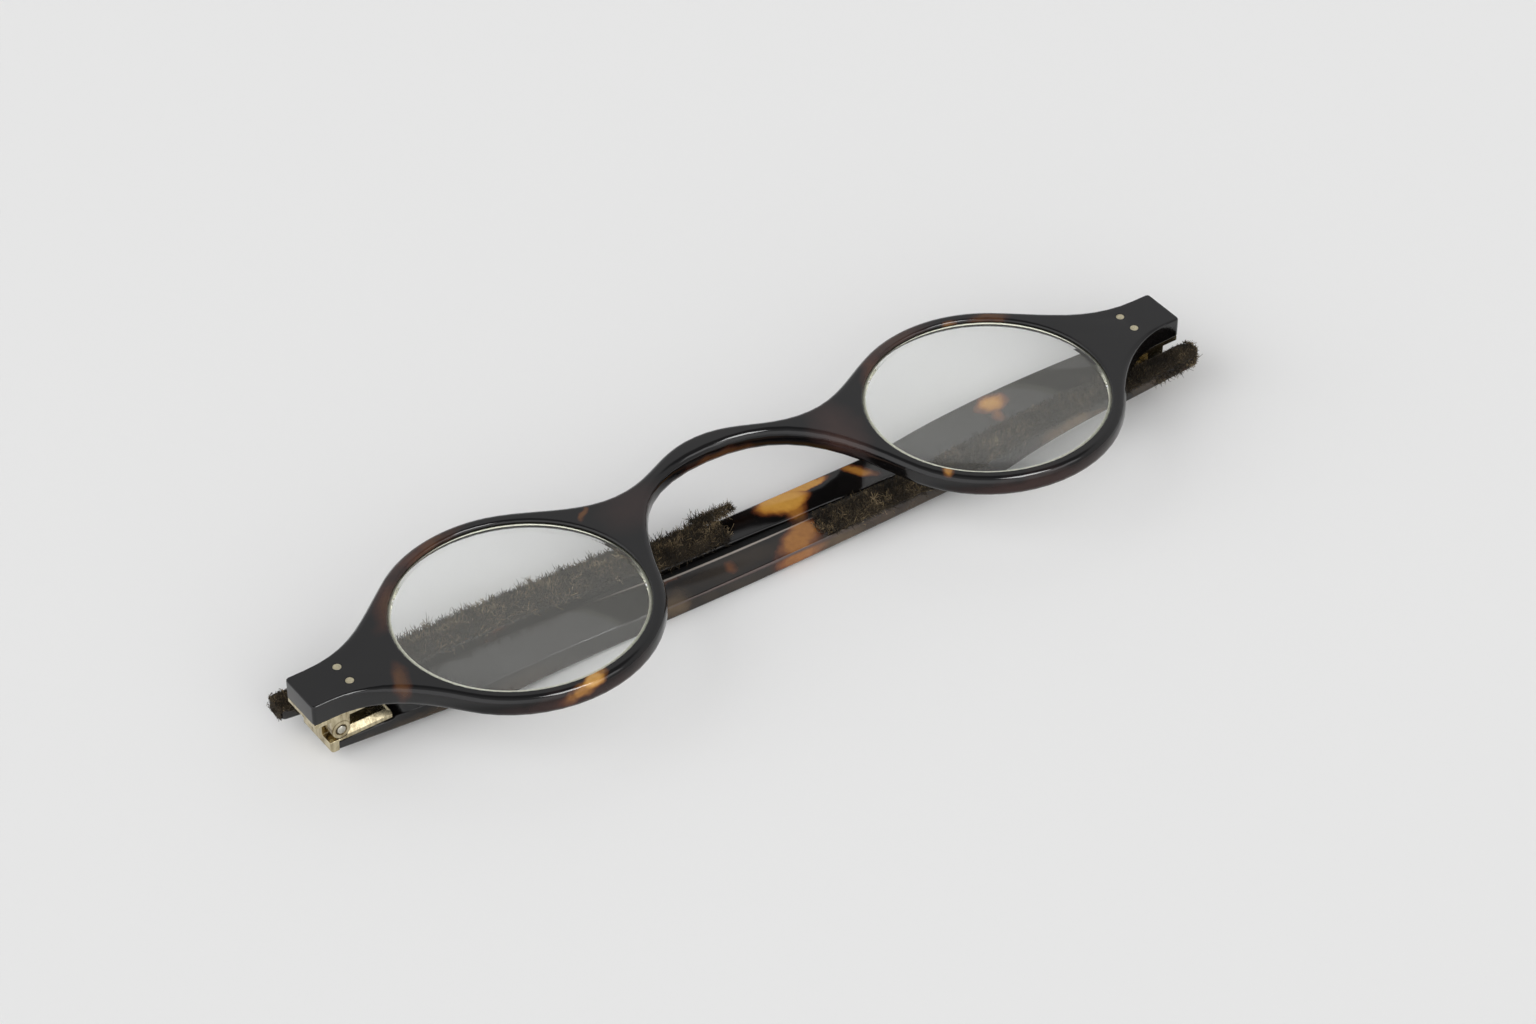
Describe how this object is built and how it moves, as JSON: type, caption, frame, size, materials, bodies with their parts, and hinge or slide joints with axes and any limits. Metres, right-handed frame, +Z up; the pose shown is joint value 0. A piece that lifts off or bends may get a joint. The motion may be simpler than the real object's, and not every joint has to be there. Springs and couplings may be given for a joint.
{
  "type": "spectacles",
  "caption": "Tortoiseshell spectacles with slightly oval lenses, a raised saddle bridge, riveted brass hinges and chenille-padded straight sides that fold flat behind the front.",
  "frame": {"origin": "middle of the spectacles, on the surface that the folded sides lie on", "axes": "+X along the front towards the wearer's left lens as it lies, +Y towards the brow edge, +Z up out of the outer face of the front"},
  "size_m": [0.1282, 0.0332, 0.0098],
  "materials": {
    "tortoiseshell_front": "polished dark tortoiseshell with a few amber patches",
    "tortoiseshell_side": "polished dark tortoiseshell with larger amber patches",
    "lens_glass": "clear glass, faintly green at the ground edge",
    "hinge_brass": "pale worn brass",
    "pin_brass": "pale worn brass, hammered end",
    "rivet_brass": "pale brass filed flush",
    "chenille": "dark worn chenille with tan tips"
  },
  "bodies": {
    "front": {"front_frame": "tortoiseshell_front", "left_lens": "lens_glass", "right_lens": "lens_glass", "left_front_hinge_leaf": "hinge_brass", "right_front_hinge_leaf": "hinge_brass", "left_hinge_pin": "pin_brass", "right_hinge_pin": "pin_brass", "left_front_rivet_upper": "rivet_brass", "left_front_rivet_lower": "rivet_brass", "right_front_rivet_upper": "rivet_brass", "right_front_rivet_lower": "rivet_brass"},
    "left_side": {"left_temple": "tortoiseshell_side", "left_side_hinge_leaf": "hinge_brass", "left_side_rivet_upper": "rivet_brass", "left_side_rivet_lower": "rivet_brass", "left_chenille_strip": "chenille"},
    "right_side": {"right_temple": "tortoiseshell_side", "right_side_hinge_leaf": "hinge_brass", "right_side_rivet_upper": "rivet_brass", "right_side_rivet_lower": "rivet_brass", "right_chenille_strip": "chenille"}
  },
  "joints": [
    {"name": "left_side_hinge", "type": "hinge", "parent": "front", "child": "left_side", "pos_m": [-0.05949, 0.0013, 0.00467], "axis": [0, 1, 0], "range_deg": [0, 90]},
    {"name": "right_side_hinge", "type": "hinge", "parent": "front", "child": "right_side", "pos_m": [0.05949, 0.0013, 0.00467], "axis": [0, -1, 0], "range_deg": [0, 90]}
  ]
}
